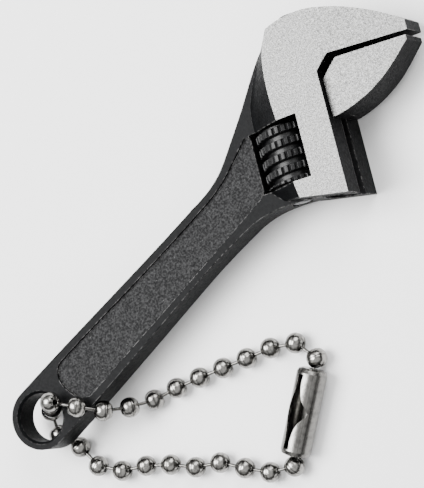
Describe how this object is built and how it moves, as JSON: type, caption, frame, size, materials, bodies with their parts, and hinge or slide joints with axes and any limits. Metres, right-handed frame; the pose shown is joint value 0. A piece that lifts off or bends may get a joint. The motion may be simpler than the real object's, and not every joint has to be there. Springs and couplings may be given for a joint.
{
  "type": "adjustable wrench",
  "caption": "Small adjustable wrench with an offset head, thumb worm, sliding jaw and a hang hole that carries a closed loop of bead chain.",
  "frame": {"origin": "centre of the hang hole in the handle's round end, on the wrench's mid plane", "axes": "+X along the handle from the hang hole towards the head, +Z out of the front face, +Y away from the movable jaw"},
  "size_m": [0.0667, 0.0369, 0.0093],
  "materials": {
    "black_steel": "matt black heat-treated steel",
    "ground_steel": "satin blasted and ground steel",
    "worm_black": "semi-gloss black steel",
    "pin_steel": "plain steel",
    "nickel": "bright nickel plate"
  },
  "bodies": {
    "wrench": {"wrench_body": "black_steel", "worm_pin": "pin_steel", "worm_spring": "pin_steel"},
    "jaw": {"movable_jaw": "ground_steel"},
    "thumb_worm": {"worm": "worm_black"},
    "chain": {"chain_bead_01": "nickel", "chain_bead_02": "nickel", "chain_bead_03": "nickel", "chain_bead_04": "nickel", "chain_bead_05": "nickel", "chain_bead_06": "nickel", "chain_bead_07": "nickel", "chain_bead_08": "nickel", "chain_bead_09": "nickel", "chain_bead_10": "nickel", "chain_bead_11": "nickel", "chain_bead_12": "nickel", "chain_bead_13": "nickel", "chain_bead_14": "nickel", "chain_bead_15": "nickel", "chain_bead_16": "nickel", "chain_bead_17": "nickel", "chain_bead_18": "nickel", "chain_bead_19": "nickel", "chain_bead_20": "nickel", "chain_bead_21": "nickel", "chain_bead_22": "nickel", "chain_bead_23": "nickel", "chain_bead_24": "nickel", "chain_bead_25": "nickel", "chain_bead_26": "nickel", "chain_bead_27": "nickel", "chain_link_01": "nickel", "chain_link_02": "nickel", "chain_link_03": "nickel", "chain_link_04": "nickel", "chain_link_05": "nickel", "chain_link_06": "nickel", "chain_link_07": "nickel", "chain_link_08": "nickel", "chain_link_09": "nickel", "chain_link_10": "nickel", "chain_link_11": "nickel", "chain_link_12": "nickel", "chain_link_13": "nickel", "chain_link_14": "nickel", "chain_link_15": "nickel", "chain_link_16": "nickel", "chain_link_17": "nickel", "chain_link_18": "nickel", "chain_link_19": "nickel", "chain_link_20": "nickel", "chain_link_21": "nickel", "chain_link_22": "nickel", "chain_link_23": "nickel", "chain_link_24": "nickel", "chain_link_25": "nickel", "chain_link_26": "nickel"},
    "clasp": {"chain_clasp": "nickel"}
  },
  "joints": [
    {"name": "jaw_slide", "type": "slide", "parent": "wrench", "child": "jaw", "axis": [-0.4879, -0.8729, 0], "range_m": [-0.0005, 0.0085]},
    {"name": "worm_spin", "type": "hinge", "parent": "wrench", "child": "thumb_worm", "pos_m": [0.0426, -0.00061, 0], "axis": [-0.4879, -0.8729, 0], "range_deg": [-2050, 130]},
    {"name": "chain_swing", "type": "hinge", "parent": "wrench", "child": "chain", "pos_m": [0, 0, 0], "axis": [0, 0, 1], "range_deg": [-180, 0]},
    {"name": "clasp_spin", "type": "hinge", "parent": "chain", "child": "clasp", "pos_m": [0.02275, -0.02134, -0.00244], "axis": [-0.8465, -0.5323, -0.0019], "continuous": true}
  ],
  "couplings": [
    {"joint": "worm_spin", "follows": "jaw_slide", "rad_per_m": -4188.8}
  ]
}
